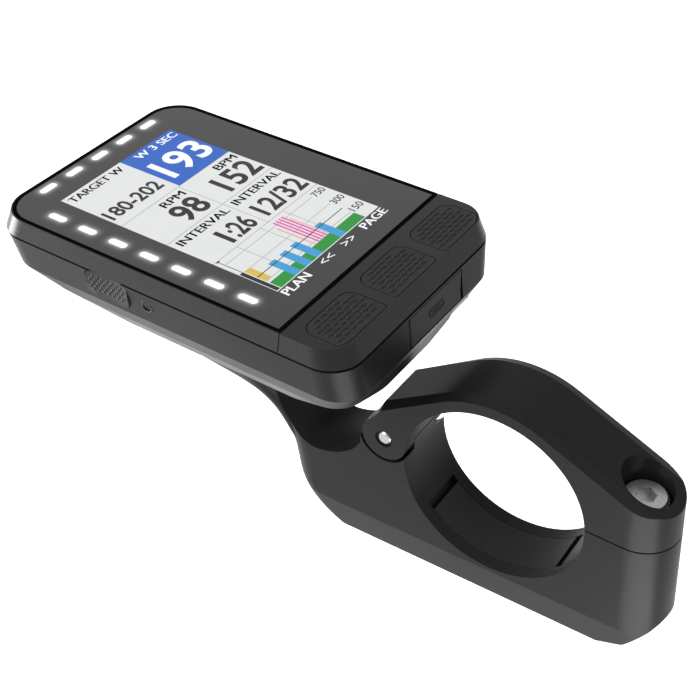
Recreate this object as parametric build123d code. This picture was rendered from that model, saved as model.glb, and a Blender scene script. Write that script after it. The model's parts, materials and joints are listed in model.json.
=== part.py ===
from build123d import *
import math
import os

# Cycling computer on an out-front handlebar mount.
# Millimetres. Origin: centre of the handlebar bore. +X to the rider's right
# along the bar, +Y forward, +Z up.

# ---------------------------------------------------------------- driving sizes
# Handlebar clamp
BAR_DIAMETER = 31.8
CLAMP_WIDTH = 12.5
ARCH_WALL = 2.6
BASE_WALL = 8.1
SPLIT_Z = 2.0
SPLIT_GAP = 0.3
PIN_DIAMETER = 2.4
PIN_WALL = 4.0
PIN_Z = 1.9
BOLT_SETBACK = 6.1
REAR_WALL = 0.5
BOLT_DIAMETER = 4.0
BOLT_HEAD_DIAMETER = 7.0
BOLT_HEAD_HEIGHT = 2.8
BOLT_LENGTH = 8.0
BOLT_HEX = 3.0
WASHER_THICKNESS = 0.4
# Computer body
BODY_WIDTH = 45.2
BODY_LENGTH = 68.6
TWIST_SETBACK = 34.05
BODY_HEIGHT = 17.0
BEZEL_HEIGHT = 3.1
MID_HEIGHT = 6.3
BAR_TO_BODY = 1.0
BODY_RISE = 14.7
SHELL_WALL = 1.4
FRONT_CORNER_RADIUS = 5.8
REAR_CORNER_RADIUS = 5.4
GLASS_THICKNESS = 1.2
CHIN_DEPTH = 9.7
# Keys, side buttons and port
KEY_WIDTH = 11.6
KEY_DEPTH = 7.1
KEY_PITCH = 14.05
KEY_TRAVEL = 0.5
BUTTON_LENGTH = 8.6
BUTTON_HEIGHT = 4.4
BUTTON_TRAVEL = 0.5
FLAP_LENGTH = 15.1
FLAP_HEIGHT = 5.1
FLAP_THICKNESS = 1.1
# Display and lights
DISPLAY_WIDTH = 26.4
DISPLAY_LENGTH = 44.0
LIGHT_LENGTH = 3.4
LIGHT_WIDTH = 1.3
SIDE_LIGHTS = 7
FRONT_LIGHTS = 5
# Quarter-turn mount
PLATFORM_RADIUS = 13.7
SOCKET_RADIUS = 12.3
HUB_RADIUS = 9.0
BOSS_DEPTH = 3.2
# Clearances
RUN = 0.05
SLIDE = 0.15
LOOSE = 0.25
THREAD_CLEARANCE = 0.4

# ---------------------------------------------------------------- derived places
BAR_R = BAR_DIAMETER / 2
HALF_CLAMP = CLAMP_WIDTH / 2
ARCH_R = BAR_R + ARCH_WALL
BASE_Z = -(BAR_R + BASE_WALL)
PIN_Y = BAR_R + PIN_WALL
PIN_R = PIN_DIAMETER / 2
BOLT_Y = -(BAR_R + BOLT_SETBACK)
BOLT_R = BOLT_DIAMETER / 2
HEAD_R = BOLT_HEAD_DIAMETER / 2
CLAMP_REAR_Y = BOLT_Y - HALF_CLAMP - REAR_WALL

TOP_Z = BAR_R + BODY_RISE
PART_1_Z = TOP_Z - BEZEL_HEIGHT
PART_2_Z = PART_1_Z - MID_HEIGHT
BACK_Z = TOP_Z - BODY_HEIGHT
GLASS_Z = TOP_Z - GLASS_THICKNESS
REAR_Y = BAR_R + BAR_TO_BODY
FRONT_Y = REAR_Y + BODY_LENGTH
TURN_Y = REAR_Y + TWIST_SETBACK
HALF_BODY = BODY_WIDTH / 2

SIDE_BEVEL = 0.6
FRONT_BEVEL = 1.0
REAR_BEVEL = 1.4
SIDE_DRAFT = 1.0
FRONT_DRAFT = 1.0
REAR_RAKE = 0.7
LAND_Y = REAR_Y + REAR_BEVEL
GLASS_REAR_Y = LAND_Y + CHIN_DEPTH
DECK_THICKNESS = 1.0
DECK_Z = PART_2_Z
BOARD_Z = DECK_Z + DECK_THICKNESS + 0.6
BOARD_THICKNESS = 0.8
CASE_SCREW_X = HALF_BODY - 10.1
CASE_SCREW_REAR_Y = REAR_Y + 13.0
CASE_SCREW_FRONT_Y = FRONT_Y - 13.0
BUTTON_Z = PART_2_Z + 3.5
POWER_Y = TURN_Y + 10.3
UP_Y = TURN_Y + 10.3
DOWN_Y = UP_Y - BUTTON_LENGTH - 3.0
FLAP_X = 3.05
FLAP_Z = PART_2_Z + 0.3 + FLAP_HEIGHT / 2
FLAP_PIN_R = FLAP_THICKNESS / 2

BOSS_Z = BACK_Z - BOSS_DEPTH
SOCKET_TOP_Z = BACK_Z - 0.4
SOCKET_FLOOR_Z = BOSS_Z - 0.2
POCKET_Z = SOCKET_FLOOR_Z - 1.4
PLATFORM_Z = BACK_Z - 2.6
WING_THICKNESS = 1.5
NECK_Y = TURN_Y - 10.0


# ---------------------------------------------------------------- small helpers
def block(x0, x1, y0, y1, z0, z1):
    """A box between two corners."""
    centre = ((x0 + x1) / 2, (y0 + y1) / 2, (z0 + z1) / 2)
    return Pos(*centre) * Box(x1 - x0, y1 - y0, z1 - z0)


def rod_z(x, y, z0, z1, radius):
    """A round bar along Z."""
    return Pos(x, y, (z0 + z1) / 2) * Cylinder(radius, z1 - z0)


def rod_x(y, z, x0, x1, radius):
    """A round bar along X."""
    return Pos((x0 + x1) / 2, y, z) * Rot(0, 90, 0) * Cylinder(radius, x1 - x0)


def outline(half_width, rear, front, rear_radius, front_radius, z):
    """A rounded oblong on the level z, symmetrical about X = 0."""
    face = Pos(0, (rear + front) / 2, 0) * Rectangle(2 * half_width, front - rear)
    middle = (rear + front) / 2
    rear_corners = [v for v in face.vertices() if v.Y < middle]
    face = fillet(rear_corners, rear_radius)
    front_corners = [v for v in face.vertices() if v.Y > middle and abs(v.X) > half_width - 0.01]
    face = fillet(front_corners, front_radius)
    return Pos(0, 0, z) * face


def slab(half_width, rear, front, rear_radius, front_radius, z0, z1):
    """A straight-sided plate with the rounded outline."""
    face = outline(half_width, rear, front, rear_radius, front_radius, z0)
    return extrude(face, z1 - z0, dir=(0, 0, 1))


def profile_x(points, half_width):
    """A straight-sided Y-Z outline drawn across the bar's direction."""
    wire = Polyline([(0, y, z) for y, z in points], close=True)
    face = make_face(wire)
    return extrude(face, half_width, dir=(1, 0, 0), both=True)


# ---------------------------------------------------------------- computer shells
def level_land(inset=0.0):
    """Top edge of the bevel, where the flat front begins."""
    return outline(HALF_BODY - SIDE_BEVEL - inset, LAND_Y + inset,
                   FRONT_Y - FRONT_BEVEL - inset, REAR_CORNER_RADIUS - 0.6 - inset,
                   FRONT_CORNER_RADIUS + 0.2 - inset, TOP_Z)


def level_parting_1(inset=0.0):
    return outline(HALF_BODY - inset, REAR_Y + inset, FRONT_Y - inset,
                   REAR_CORNER_RADIUS - inset, FRONT_CORNER_RADIUS - inset, PART_1_Z)


def level_parting_2(inset=0.0):
    return outline(HALF_BODY - SIDE_DRAFT - inset, REAR_Y - REAR_RAKE + inset,
                   FRONT_Y - FRONT_DRAFT - inset, REAR_CORNER_RADIUS - inset,
                   FRONT_CORNER_RADIUS - inset, PART_2_Z)


def bezel_blank():
    """The bevelled top band of the case, before it is hollowed or split."""
    return loft([level_parting_1(), level_land()], ruled=True)


def mid_blank():
    return loft([level_parting_2(), level_parting_1()], ruled=True)


SHOULDER_DROP = 3.0
SHOULDER_INSET = 1.5
FLOOR_SIDE = 4.9
FLOOR_REAR = 3.2
FLOOR_FRONT = 18.0
FLOOR_CORNER_RADIUS = 11.0


def back_blank(inset=0.0, lift=0.0):
    """The bowl-shaped back: steep shoulder, then a taper to the flat bottom."""
    drop = PART_2_Z - BACK_Z
    share = SHOULDER_DROP / drop
    rim_front = FRONT_Y - FRONT_DRAFT
    rim_rear = REAR_Y - REAR_RAKE
    rim = level_parting_2(inset)
    shoulder = outline(HALF_BODY - SIDE_DRAFT - SHOULDER_INSET - inset,
                       rim_rear + SHOULDER_INSET + inset,
                       rim_front - FLOOR_FRONT * share - inset,
                       REAR_CORNER_RADIUS - 0.3 - inset, FRONT_CORNER_RADIUS - 1.0 - inset,
                       PART_2_Z - SHOULDER_DROP + lift * share)
    floor = outline(HALF_BODY - SIDE_DRAFT - FLOOR_SIDE - inset, rim_rear + FLOOR_REAR + inset,
                    rim_front - FLOOR_FRONT - inset, FLOOR_CORNER_RADIUS - inset,
                    FRONT_CORNER_RADIUS - 2.0 - inset, BACK_Z + lift)
    upper = loft([shoulder, rim], ruled=True)
    lower = loft([floor, shoulder], ruled=True)
    return upper + lower


GLASS_INSET = 0.35
LEDGE = 1.35
GASKET_THICKNESS = 0.2
LEDGE_Z = GLASS_Z - GASKET_THICKNESS
CHIN_GAP = 0.15
GLASS_FRONT_Y = FRONT_Y - FRONT_BEVEL - GLASS_INSET
FRONT_ROW_Y = GLASS_FRONT_Y - 2.15
SIDE_ROW_Y = GLASS_FRONT_Y - 9.5
SIDE_ROW_PITCH = 6.34


def glass_plan(inset, z0, z1):
    half = HALF_BODY - SIDE_BEVEL - GLASS_INSET - inset
    front = GLASS_FRONT_Y - inset
    rear = GLASS_REAR_Y + CHIN_GAP + inset
    return slab(half, rear, front, 0.6, FRONT_CORNER_RADIUS - 0.15 - inset, z0, z1)


def front_bezel():
    """Bevelled frame round three sides of the glass, with a bar under its rear edge."""
    keep = block(-HALF_BODY, HALF_BODY, GLASS_REAR_Y, FRONT_Y + 1, PART_1_Z, TOP_Z)
    frame = bezel_blank() & keep
    frame -= glass_plan(-0.1, LEDGE_Z, TOP_Z + 1)
    frame -= glass_plan(LEDGE, PART_1_Z - 1, TOP_Z)
    return frame


KEY_MARGIN = 0.45
KEY_REAR_Y = LAND_Y + KEY_MARGIN


def key_x(place):
    return (place - 1) * KEY_PITCH + 0.3


def key_cap(place, grow, z0, z1):
    """One front key: its outer corner follows the case where they meet."""
    face = Rectangle(KEY_WIDTH + 2 * grow, KEY_DEPTH + 2 * grow)
    front = [v for v in face.vertices() if v.Y > 0]
    face = fillet(front, 2.0 + grow)
    rear = [v for v in face.vertices() if v.Y < 1 - KEY_DEPTH / 2]
    face = fillet(rear, 0.5 + grow)
    face = Pos(key_x(place), KEY_REAR_Y + KEY_DEPTH / 2, 0) * face
    face &= Pos(0, 0, -TOP_Z) * level_land(KEY_MARGIN - grow)
    return extrude(Pos(0, 0, z0) * face, z1 - z0, dir=(0, 0, 1))


def button_bezel():
    """The chin below the glass, with a window for each key."""
    keep = block(-HALF_BODY, HALF_BODY, REAR_Y - 1, GLASS_REAR_Y - CHIN_GAP, PART_1_Z, TOP_Z)
    chin = bezel_blank() & keep
    for place in range(3):
        chin -= key_cap(place, SLIDE, PART_1_Z - 1, TOP_Z + 1)
    return chin


KEY_FLANGE_TOP = PART_1_Z - 0.2
KEY_STEM_Y = KEY_REAR_Y + KEY_DEPTH - 0.5
SWITCH_HEIGHT = 1.2
BOARD_TOP_Z = BOARD_Z + BOARD_THICKNESS


def front_key(place):
    """Key cap with a retaining flange and a stem over its switch."""
    cap = key_cap(place, 0, KEY_FLANGE_TOP - 0.7, TOP_Z)
    x = key_x(place)
    half = KEY_WIDTH / 2 + 0.55
    rear = KEY_REAR_Y + 0.1
    front = KEY_REAR_Y + KEY_DEPTH + 0.7
    flange = block(x - half, x + half, rear, front, KEY_FLANGE_TOP - 0.7, KEY_FLANGE_TOP)
    stem_z = BOARD_TOP_Z + SWITCH_HEIGHT + KEY_TRAVEL + 0.1
    stem = rod_z(x, KEY_STEM_Y, stem_z, KEY_FLANGE_TOP, 0.7)
    room = slab(CAVITY_HALF - 0.2, CAVITY_REAR + 0.2, CAVITY_FRONT, 3.2, 4.2, BACK_Z, TOP_Z)
    return cap + (flange & room) + stem


def key_switches():
    """A low square switch on the board under each key."""
    parts = []
    for place in range(3):
        x = key_x(place)
        y = KEY_STEM_Y
        body = block(x - 1.5, x + 1.5, y - 0.8, y + 0.8, BOARD_TOP_Z, BOARD_TOP_Z + 0.9)
        dome = rod_z(x, y, BOARD_TOP_Z + 0.9, BOARD_TOP_Z + SWITCH_HEIGHT, 0.6)
        parts.append(body + dome)
    return parts


def wall_x(z):
    """Half-width of the mid housing's outer wall at a height."""
    return HALF_BODY - SIDE_DRAFT * (PART_1_Z - z) / MID_HEIGHT


def wall_y(z):
    """Rear face of the mid housing at a height."""
    return REAR_Y - REAR_RAKE * (PART_1_Z - z) / MID_HEIGHT


CAVITY_HALF = HALF_BODY - 2.4
CAVITY_REAR = REAR_Y + SHELL_WALL
CAVITY_FRONT = FRONT_Y - 2.6
BUTTON_INNER = CAVITY_HALF - LOOSE
BUTTON_FLANGE = 0.7
BUTTON_LIP = 0.5
SWITCH_FACE_X = BUTTON_INNER - BUTTON_FLANGE - BUTTON_TRAVEL - 0.1


SIDE_BUTTONS = ((-1, POWER_Y), (1, UP_Y), (1, DOWN_Y))


def button_window(side, y):
    half = BUTTON_LENGTH / 2 + SLIDE
    tall = BUTTON_HEIGHT / 2 + SLIDE
    outer = side * (HALF_BODY + 2)
    inner = side * (CAVITY_HALF - 1)
    window = block(min(outer, inner), max(outer, inner), y - half, y + half,
                   BUTTON_Z - tall, BUTTON_Z + tall)
    return fillet(window.edges().filter_by(Axis.X), 1.2)


def side_button(side, y):
    """A rocker-shaped key in the side wall, scooped for the fingertip."""
    half = BUTTON_LENGTH / 2
    low = BUTTON_Z - BUTTON_HEIGHT / 2
    high = BUTTON_Z + BUTTON_HEIGHT / 2
    proud = 0.3
    section = Polyline((side * BUTTON_INNER, y - half, low),
                       (side * (wall_x(low) + proud), y - half, low),
                       (side * (wall_x(high) + proud), y - half, high),
                       (side * BUTTON_INNER, y - half, high), close=True)
    body = extrude(make_face(section), 2 * half, dir=(0, 1, 0))
    lengthwise = body.edges().filter_by(lambda e: abs(e.tangent_at(0).X) > 0.9)
    corners = lengthwise.filter_by(lambda e: abs(e.center().X) > BUTTON_INNER + 0.2)
    body = fillet(corners, 1.05)
    scoop_r = 22.0
    scoop_x = side * (wall_x(BUTTON_Z) + proud + scoop_r - 0.45)
    body -= rod_z(scoop_x, y, low - 1, high + 1, scoop_r)
    x0 = BUTTON_INNER
    x1 = BUTTON_INNER - BUTTON_FLANGE
    flange = block(min(side * x0, side * x1), max(side * x0, side * x1),
                   y - half - BUTTON_LIP, y + half + BUTTON_LIP, low - 0.2, high + 0.2)
    return body + flange


def side_switches():
    """Right-angle switches on the board behind the side buttons."""
    parts = []
    for side, y in SIDE_BUTTONS:
        x0 = side * SWITCH_FACE_X
        x1 = side * (SWITCH_FACE_X - 1.5)
        parts.append(block(min(x0, x1), max(x0, x1), y - 1.8, y + 1.8,
                           BOARD_TOP_Z, BUTTON_Z + 1.0))
    return parts


FLAP_GAP = 0.15
FLAP_PIN_X = FLAP_X + FLAP_LENGTH / 2 - FLAP_PIN_R
FLAP_PIN_Y = wall_y(FLAP_Z) + FLAP_PIN_R
FLAP_INNER_Y = FLAP_PIN_Y + FLAP_PIN_R
PORT_X = FLAP_X - 1.0
PORT_Z = BOARD_Z + BOARD_THICKNESS / 2
PORT_WIDTH = 9.0
PORT_HEIGHT = 3.3
PORT_WALL = 0.25
PORT_LENGTH = 5.5


def port_shape(grow, y0, y1):
    """The round-ended slot of a small reversible socket."""
    face = RectangleRounded(PORT_WIDTH + 2 * grow, PORT_HEIGHT + 2 * grow,
                            PORT_HEIGHT / 2 + grow - 0.01)
    return extrude(Pos(PORT_X, y0, PORT_Z) * Rot(90, 0, 0) * face, y1 - y0, dir=(0, 1, 0))


def flap_recess():
    x0 = FLAP_X - FLAP_LENGTH / 2 - 0.45
    x1 = FLAP_X + FLAP_LENGTH / 2 + FLAP_GAP
    half = FLAP_HEIGHT / 2 + FLAP_GAP
    return block(x0, x1, REAR_Y - 3, FLAP_INNER_Y + FLAP_GAP, FLAP_Z - half, FLAP_Z + half)


def usb_cover():
    """Rubber flap over the charging port, hinged at its right-hand end."""
    x0 = FLAP_X - FLAP_LENGTH / 2
    half = FLAP_HEIGHT / 2
    flap = block(x0, FLAP_PIN_X, REAR_Y - 3, FLAP_INNER_Y, FLAP_Z - half, FLAP_Z + half)
    flap += rod_z(FLAP_PIN_X, FLAP_PIN_Y, FLAP_Z - half, FLAP_Z + half, FLAP_PIN_R)
    flap &= mid_blank()
    flap += port_shape(-0.45, FLAP_INNER_Y, FLAP_INNER_Y + 0.7)
    return flap


def usb_socket():
    """Steel port shell on the board behind the flap, with its tongue."""
    y0 = FLAP_INNER_Y + FLAP_GAP + 0.9
    shell = port_shape(PORT_WALL, y0, y0 + PORT_LENGTH)
    half = PORT_WIDTH / 2 + PORT_WALL + 1.1
    tabs = block(PORT_X - half, PORT_X + half, y0 + 2.0, y0 + 5.0, BOARD_TOP_Z, BOARD_TOP_Z + 0.4)
    shell = shell + tabs - port_shape(0, y0 - 1, y0 + PORT_LENGTH - 0.7)
    tongue = block(PORT_X - 3.3, PORT_X + 3.3, y0 + 0.8, y0 + PORT_LENGTH - 0.3,
                   PORT_Z - 0.35, PORT_Z + 0.35)
    return shell + tongue


def port_notch():
    """Room for the port in the deck and in the board."""
    y0 = FLAP_INNER_Y + FLAP_GAP + 0.9
    half = PORT_WIDTH / 2 + PORT_WALL + 0.15
    low = PORT_Z - PORT_HEIGHT / 2 - PORT_WALL - 0.15
    return block(PORT_X - half, PORT_X + half, CAVITY_REAR, y0 + PORT_LENGTH + 0.15, low, TOP_Z)


def case_screw_places():
    return [(side * CASE_SCREW_X, y) for side in (-1, 1)
            for y in (CASE_SCREW_REAR_Y, CASE_SCREW_FRONT_Y)]


MID_BOSS_TOP = PART_2_Z + 4.2


SHADOW_DEPTH = 0.35
SHADOW_HEIGHT = 0.45


def shadow_gap():
    """Groove round the top of the side frame, which sets the bezel off with a dark line."""
    outer = extrude(level_parting_1(-1.0).face(), -SHADOW_HEIGHT, dir=(0, 0, 1))
    return outer - extrude(level_parting_1(SHADOW_DEPTH).face(), -SHADOW_HEIGHT, dir=(0, 0, 1))


def mid_housing():
    """Side frame of the case with a deck that carries the board."""
    body = mid_blank() - shadow_gap()
    body -= slab(CAVITY_HALF, CAVITY_REAR, CAVITY_FRONT, 3.4, 4.4,
                 DECK_Z + DECK_THICKNESS, TOP_Z)
    body -= block(-6, 6, TURN_Y - 20, TURN_Y - 12, DECK_Z - 1, DECK_Z + 3)
    for x, y in case_screw_places():
        body += rod_z(x, y, DECK_Z, MID_BOSS_TOP, 2.2)
        body -= rod_z(x, y, DECK_Z - 1, MID_BOSS_TOP - 0.8, 0.85)
    for place in range(3):
        body -= key_cap(place, SLIDE, KEY_FLANGE_TOP - 1.5, TOP_Z)
    for side, y in SIDE_BUTTONS:
        body -= button_window(side, y)
    body -= flap_recess()
    body -= port_shape(0.3, REAR_Y - 3, CAVITY_REAR + 3)
    body -= port_notch()
    return body


SEAL = 0.8


def back_cover():
    """Bowl-shaped rear shell with screw pillars and a seat for the twist boss."""
    body = back_blank() - back_blank(SHELL_WALL, SHELL_WALL)
    drop = PART_2_Z - BACK_Z
    slope = drop / FLOOR_FRONT
    rise = slope * (CASE_SCREW_FRONT_Y - (FRONT_Y - FRONT_DRAFT - FLOOR_FRONT))
    for x, y in case_screw_places():
        seat = BACK_Z + 1.8 if y < TURN_Y else BACK_Z + rise + 2.6
        pillar = rod_z(x, y, BACK_Z, PART_2_Z, 2.7) & back_blank()
        body += pillar
        body -= rod_z(x, y, BACK_Z - 1, seat, 2.05)
        body -= rod_z(x, y, seat - 1, PART_2_Z + 1, 1.15)
    for x, y in boss_screw_places():
        body -= rod_z(x, y, BACK_Z - 1, BACK_Z + SHELL_WALL + 1, 1.05)
        body -= countersink(x, y, BACK_Z + SHELL_WALL, 1.05, 1.95)
    groove = extrude(level_parting_2(0.35).face(), -0.5, dir=(0, 0, 1))
    groove -= extrude(level_parting_2(0.35 + SEAL).face(), -0.5, dir=(0, 0, 1))
    body -= groove
    return body - lanyard_slot() - lanyard_bar()


def housing_seal():
    """Flat rubber ring in the groove round the back cover's rim."""
    outer = extrude(level_parting_2(0.4).face(), -0.45, dir=(0, 0, 1))
    inner = extrude(level_parting_2(0.3 + SEAL).face(), -0.45, dir=(0, 0, 1))
    return outer - inner


LANYARD_X = HALF_BODY - 9.6
LANYARD_Y = REAR_Y + 3.4


def lanyard_slot():
    """Through slot in the rear edge of the bowl, for a tether loop."""
    return block(LANYARD_X - 2.3, LANYARD_X + 2.3, REAR_Y - 2, LANYARD_Y + 1.0,
                 BACK_Z - 1, PART_2_Z - 2.2)


def lanyard_bar():
    return rod_x(LANYARD_Y - 1.4, PART_2_Z - 4.0, LANYARD_X - 3.4, LANYARD_X + 3.4, 0.7)


def case_screws():
    """Four pan-head screws from the back into the mid housing."""
    drop = PART_2_Z - BACK_Z
    slope = drop / FLOOR_FRONT
    rise = slope * (CASE_SCREW_FRONT_Y - (FRONT_Y - FRONT_DRAFT - FLOOR_FRONT))
    parts = []
    for x, y in case_screw_places():
        seat = BACK_Z + 1.8 if y < TURN_Y else BACK_Z + rise + 2.6
        head = rod_z(x, y, seat - 1.3, seat, 1.85)
        head -= rod_z(x, y, seat - 2, seat - 0.6, 0.75)
        shank = rod_z(x, y, seat - 0.2, MID_BOSS_TOP - 1.0, 0.82)
        parts.append(head + shank)
    return parts


# ---------------------------------------------------------------- glass and lights
def light_places():
    """Centre and direction of each window: a side row, then a front row."""
    places = []
    for i in range(SIDE_LIGHTS):
        y = SIDE_ROW_Y - SIDE_ROW_PITCH * i
        places.append((-(HALF_BODY - 4.7), y, 90))
    for i in range(FRONT_LIGHTS):
        x = 6.22 * (i - (FRONT_LIGHTS - 1) / 2)
        places.append((x, FRONT_ROW_Y, 0))
    return places


def light_shape(grow, z0, z1):
    shapes = []
    for x, y, turn in light_places():
        face = SlotOverall(LIGHT_LENGTH + 2 * grow, LIGHT_WIDTH + 2 * grow)
        face = Pos(x, y, z0) * Rot(0, 0, turn) * face
        shapes.append(extrude(face, z1 - z0, dir=(0, 0, 1)))
    return shapes


LED_BOARD_Z = PART_1_Z + 0.3
LED_BOARD_THICKNESS = 0.3


def glass_lens():
    glass = glass_plan(0, GLASS_Z, TOP_Z)
    for hole in light_shape(0.03, GLASS_Z - 1, TOP_Z + 1):
        glass -= hole
    return glass


def light_guides():
    """Clear pills that carry each lamp's light to the surface of the glass."""
    return light_shape(0, LED_BOARD_Z + LED_BOARD_THICKNESS + 0.6, TOP_Z)


def led_chips():
    """A small white lamp under each light guide."""
    parts = []
    z0 = LED_BOARD_Z + LED_BOARD_THICKNESS
    for x, y, turn in light_places():
        parts.append(Pos(x, y, z0 + 0.25) * Rot(0, 0, turn) * Box(1.6, 0.8, 0.5))
    return parts


def led_board():
    """L-shaped strip that carries the lamps."""
    x = HALF_BODY - 4.7
    side = block(-x - 1.3, -x + 1.3, SIDE_ROW_Y - 41.6, SIDE_ROW_Y + 2.4, LED_BOARD_Z,
                 LED_BOARD_Z + LED_BOARD_THICKNESS)
    y = FRONT_ROW_Y
    corner = block(-x - 1.3, -x + 1.3, SIDE_ROW_Y + 1.4, SIDE_ROW_Y + 3.9, LED_BOARD_Z,
                   LED_BOARD_Z + LED_BOARD_THICKNESS)
    front = block(-x + 0.5, x - 3, y - 1.1, y + 0.6, LED_BOARD_Z,
                  LED_BOARD_Z + LED_BOARD_THICKNESS)
    link = block(-x + 0.5, -x + 1.3, SIDE_ROW_Y + 1.4, y, LED_BOARD_Z,
                 LED_BOARD_Z + LED_BOARD_THICKNESS)
    return side + corner + front + link


def display_gasket():
    """Adhesive frame between the bezel's ledge and the glass."""
    ring = glass_plan(0.15, LEDGE_Z, GLASS_Z) - glass_plan(LEDGE - 0.1, LEDGE_Z - 1, TOP_Z)
    return ring


DISPLAY_REAR_Y = LAND_Y + 15.75


def display_panel():
    """Colour display module bonded under the glass."""
    y0 = DISPLAY_REAR_Y - 3.2
    y1 = DISPLAY_REAR_Y + DISPLAY_LENGTH + 1.0
    half = DISPLAY_WIDTH / 2 + 0.9
    return block(-half, half, y0, y1, LED_BOARD_Z, GLASS_Z)


TRAY_THICKNESS = 0.7
TRAY_Z = LED_BOARD_Z - TRAY_THICKNESS


def display_tray():
    """Thin metal plate that backs the display and holds the lamp strip."""
    half = BUTTON_INNER - BUTTON_FLANGE - BUTTON_TRAVEL - LOOSE
    y0 = GLASS_REAR_Y + CHIN_GAP + LEDGE + SLIDE
    tray = block(-half, half, y0, CAVITY_FRONT - 6.0, TRAY_Z, LED_BOARD_Z)
    tray -= block(-8, 8, TURN_Y + 12, TURN_Y + 24, TRAY_Z - 1, TRAY_Z + 2)
    return tray


# ---------------------------------------------------------------- electronics
def main_board():
    """Circuit board on the deck, cleared round the screw bosses."""
    board = slab(CAVITY_HALF - 0.4, CAVITY_REAR + 0.5, CAVITY_FRONT - 0.5, 2.9, 3.9,
                 BOARD_Z, BOARD_TOP_Z)
    for x, y in case_screw_places():
        board -= rod_z(x, y, BOARD_Z - 1, BOARD_TOP_Z + 1, 2.5)
    for side, y in SIDE_BUTTONS:
        reach = BUTTON_LENGTH / 2 + BUTTON_LIP + SLIDE
        x0 = side * (SWITCH_FACE_X - 0.05)
        x1 = side * (CAVITY_HALF + 1)
        board -= block(min(x0, x1), max(x0, x1), y - reach, y + reach, BOARD_Z - 1, BOARD_TOP_Z + 1)
    return board - port_notch()


def board_posts():
    """Stand-offs between the deck and the board."""
    parts = []
    for x in (-14, 14):
        for y in (TURN_Y - 10, TURN_Y + 12):
            parts.append(rod_z(x, y, DECK_Z + DECK_THICKNESS, BOARD_Z, 1.6))
    return parts


def shield_can():
    y = TURN_Y - 2
    outer = block(-11, 5, y - 7, y + 7, BOARD_TOP_Z, BOARD_TOP_Z + 1.6)
    inner = block(-10.8, 4.8, y - 6.8, y + 6.8, BOARD_TOP_Z - 1, BOARD_TOP_Z + 1.4)
    return fillet(outer.edges().filter_by(Axis.Z), 0.6) - inner


def processor():
    y = TURN_Y - 2
    return block(-8, 0, y - 4, y + 4, BOARD_TOP_Z, BOARD_TOP_Z + 1.0)


def satellite_antenna():
    """Ceramic patch antenna near the front of the board."""
    y = FRONT_Y - 15
    patch = block(-6, 6, y - 6, y + 6, BOARD_TOP_Z, BOARD_TOP_Z + 2.2)
    return patch


def buzzer():
    y = TURN_Y - 12
    can = rod_z(11, y, BOARD_TOP_Z, BOARD_TOP_Z + 1.8, 4.0)
    return can - rod_z(11, y, BOARD_TOP_Z + 1.2, BOARD_TOP_Z + 3, 0.7)


BATTERY_Z = BACK_Z + SHELL_WALL + 0.7


def battery():
    cell = block(-13.5, 13.5, TURN_Y - 17, TURN_Y + 14, BATTERY_Z, PART_2_Z - 0.4)
    return fillet(cell.edges().filter_by(Axis.Y), 1.2)


# ---------------------------------------------------------------- quarter-turn fixing
WING_R = SOCKET_RADIUS - 0.95
WING_HALF_ANGLE = 26.0


def wing_sector(radius, half_angle, z0, z1, turn):
    """Two opposite sectors of a disc."""
    disc = rod_z(0, TURN_Y, z0, z1, radius)
    reach = radius * 2
    spread = reach * math.tan(math.radians(half_angle))
    tip = Polyline((0, 0, 0), (reach, -spread, 0), (reach, spread, 0), close=True)
    wedge = extrude(make_face(tip), z1 - z0, dir=(0, 0, 1))
    pair = wedge + Rot(0, 0, 180) * wedge
    return disc & (Pos(0, TURN_Y, z0) * Rot(0, 0, turn) * pair)


def boss_screw_places():
    places = []
    for i in range(4):
        angle = math.radians(45 + 90 * i)
        places.append((6.3 * math.cos(angle), TURN_Y + 6.3 * math.sin(angle)))
    return places


def countersink(x, y, top, small, large):
    depth = large - small
    return Pos(x, y, top - depth / 2) * Cone(small, large, depth)


def twist_boss():
    """Round boss with two wings that locks into the mount by a quarter turn."""
    hub = rod_z(0, TURN_Y, BOSS_Z, BACK_Z, HUB_RADIUS)
    wings = wing_sector(WING_R, WING_HALF_ANGLE, BOSS_Z, BOSS_Z + WING_THICKNESS, 0)
    boss = hub + wings
    boss -= rod_z(0, TURN_Y, BOSS_Z - 1, BOSS_Z + 1.4, 4.0)
    for x, y in boss_screw_places():
        boss -= rod_z(x, y, BOSS_Z + 0.7, BACK_Z + 1, 0.9)
    return boss


def boss_screws():
    """Countersunk screws from inside the back cover into the twist boss."""
    parts = []
    for x, y in boss_screw_places():
        shank = rod_z(x, y, BOSS_Z + 0.9, BACK_Z + SHELL_WALL, 0.88)
        head = countersink(x, y, BACK_Z + SHELL_WALL - 0.02, 1.0, 1.88)
        parts.append(shank + head)
    return parts


def socket_ring():
    """Insert in the mount with the two-slot lip that holds the wings."""
    ring = rod_z(0, TURN_Y, POCKET_Z, SOCKET_TOP_Z, SOCKET_RADIUS)
    lip_z = BOSS_Z + WING_THICKNESS + 0.2
    ring -= rod_z(0, TURN_Y, SOCKET_FLOOR_Z, lip_z, WING_R + LOOSE)
    ring -= rod_z(0, TURN_Y, lip_z - 0.5, SOCKET_TOP_Z + 1, HUB_RADIUS + 0.08)
    ring -= wing_sector(WING_R + LOOSE, WING_HALF_ANGLE + 2.5, lip_z - 0.5, SOCKET_TOP_Z + 1, 90)
    for side in (-1, 1):
        ring -= rod_z(side * SOCKET_SCREW_X, TURN_Y, POCKET_Z - 1, TOP_Z, 1.3)
        ring -= countersink(side * SOCKET_SCREW_X, TURN_Y, SOCKET_FLOOR_Z, 1.25, 2.4)
    return ring


SOCKET_SCREW_X = 5.6


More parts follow.
